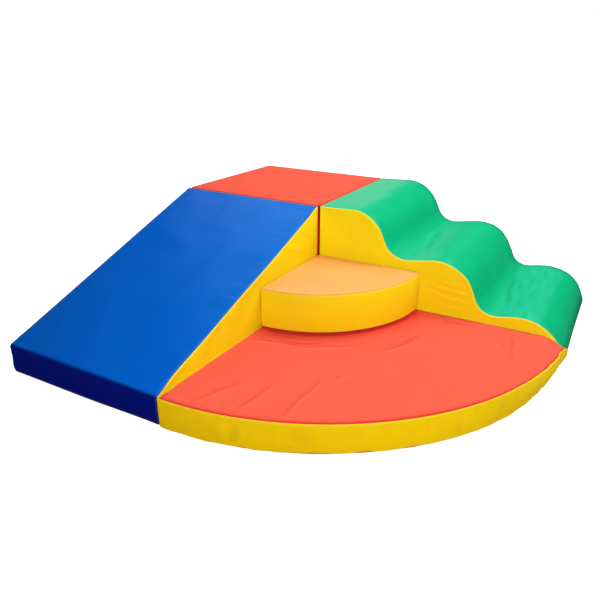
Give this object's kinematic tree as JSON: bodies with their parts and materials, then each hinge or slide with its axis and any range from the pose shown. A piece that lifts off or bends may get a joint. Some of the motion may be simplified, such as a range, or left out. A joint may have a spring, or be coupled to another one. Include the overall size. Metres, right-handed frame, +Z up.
{
  "type": "soft play corner module",
  "caption": "Corner set of foam play pieces in sewn covers: square block, straight ramp and wave slide at a right angle, with two stacked quarter round steps in the inside corner.",
  "frame": {"origin": "middle of the set's base on the floor", "axes": "+Z up; the wave slide runs from the corner block towards +X, the ramp runs from it towards -Y, and the inside corner faces +X and -Y"},
  "size_m": [1.5053, 1.5053, 0.417],
  "materials": {
    "foam": "matte",
    "red_vinyl": "satin",
    "blue_vinyl": "satin",
    "yellow_vinyl": "satin",
    "green_vinyl": "satin",
    "orange_vinyl": "satin",
    "zip_tape": "matte",
    "zip_metal": "satin",
    "hook_strip": "matte",
    "loop_strip": "matte"
  },
  "bodies": {
    "corner_block": {"block_foam_core": "foam", "block_top_panel": "red_vinyl", "block_side_band": "red_vinyl", "block_base_panel": "red_vinyl", "block_zip_tape": "zip_tape", "block_hook_to_ramp_upper": "hook_strip", "block_hook_to_ramp_lower": "hook_strip", "block_hook_to_wave_upper": "hook_strip", "block_hook_to_wave_lower": "hook_strip"},
    "ramp": {"ramp_foam_core": "foam", "ramp_slide_panel": "blue_vinyl", "ramp_inner_side_panel": "yellow_vinyl", "ramp_outer_side_panel": "yellow_vinyl", "ramp_back_panel": "yellow_vinyl", "ramp_base_panel": "yellow_vinyl", "ramp_zip_tape": "zip_tape", "ramp_loop_to_block_upper": "loop_strip", "ramp_loop_to_block_lower": "loop_strip", "ramp_hook_to_low_step": "hook_strip"},
    "wave": {"wave_foam_core": "foam", "wave_top_panel": "green_vinyl", "wave_front_side_panel": "yellow_vinyl", "wave_rear_side_panel": "yellow_vinyl", "wave_back_panel": "yellow_vinyl", "wave_base_panel": "yellow_vinyl", "wave_zip_tape": "zip_tape", "wave_loop_to_block_upper": "loop_strip", "wave_loop_to_block_lower": "loop_strip", "wave_hook_to_low_step": "hook_strip"},
    "low_step": {"low_step_foam_core": "foam", "low_step_top_panel": "red_vinyl", "low_step_arc_band": "yellow_vinyl", "low_step_ramp_side_panel": "yellow_vinyl", "low_step_wave_side_panel": "yellow_vinyl", "low_step_base_panel": "red_vinyl", "low_step_zip_tape": "zip_tape", "low_step_loop_to_ramp": "loop_strip", "low_step_loop_to_wave": "loop_strip", "low_step_hook_to_high_rear": "hook_strip", "low_step_hook_to_high_front": "hook_strip"},
    "high_step": {"high_step_foam_core": "foam", "high_step_top_panel": "orange_vinyl", "high_step_arc_band": "yellow_vinyl", "high_step_ramp_side_panel": "yellow_vinyl", "high_step_wave_side_panel": "yellow_vinyl", "high_step_base_panel": "yellow_vinyl", "high_step_zip_tape": "zip_tape", "high_step_loop_to_low_rear": "loop_strip", "high_step_loop_to_low_front": "loop_strip"},
    "block_zip": {"block_zip_slider": "zip_metal"},
    "ramp_zip": {"ramp_zip_slider": "zip_metal"},
    "wave_zip": {"wave_zip_slider": "zip_metal"},
    "low_step_zip": {"low_step_zip_slider": "zip_metal"},
    "high_step_zip": {"high_step_zip_slider": "zip_metal"}
  },
  "joints": [
    {"name": "ramp_pull_away", "type": "slide", "parent": "corner_block", "child": "ramp", "axis": [-0.7071, -0.7071, 0], "range_m": [0, 0.5]},
    {"name": "wave_pull_away", "type": "slide", "parent": "corner_block", "child": "wave", "axis": [0.7071, 0.7071, 0], "range_m": [0, 0.5]},
    {"name": "low_step_pull_away", "type": "slide", "parent": "corner_block", "child": "low_step", "axis": [0.7071, -0.7071, 0], "range_m": [0, 0.5]},
    {"name": "high_step_lift_off", "type": "slide", "parent": "low_step", "child": "high_step", "axis": [0, 0, 1], "range_m": [0, 0.4]},
    {"name": "block_zip_slide", "type": "slide", "parent": "corner_block", "child": "block_zip", "axis": [-1, 0, 0], "range_m": [0, 0.468]},
    {"name": "ramp_zip_slide", "type": "slide", "parent": "ramp", "child": "ramp_zip", "axis": [0, -1, 0], "range_m": [0, 0.588]},
    {"name": "wave_zip_slide", "type": "slide", "parent": "wave", "child": "wave_zip", "axis": [-1, 0, 0], "range_m": [0, 0.588]},
    {"name": "low_step_zip_slide", "type": "slide", "parent": "low_step", "child": "low_step_zip", "axis": [0, -1, 0], "range_m": [0, 0.588]},
    {"name": "high_step_zip_slide", "type": "slide", "parent": "high_step", "child": "high_step_zip", "axis": [0, -1, 0], "range_m": [0, 0.248]}
  ]
}
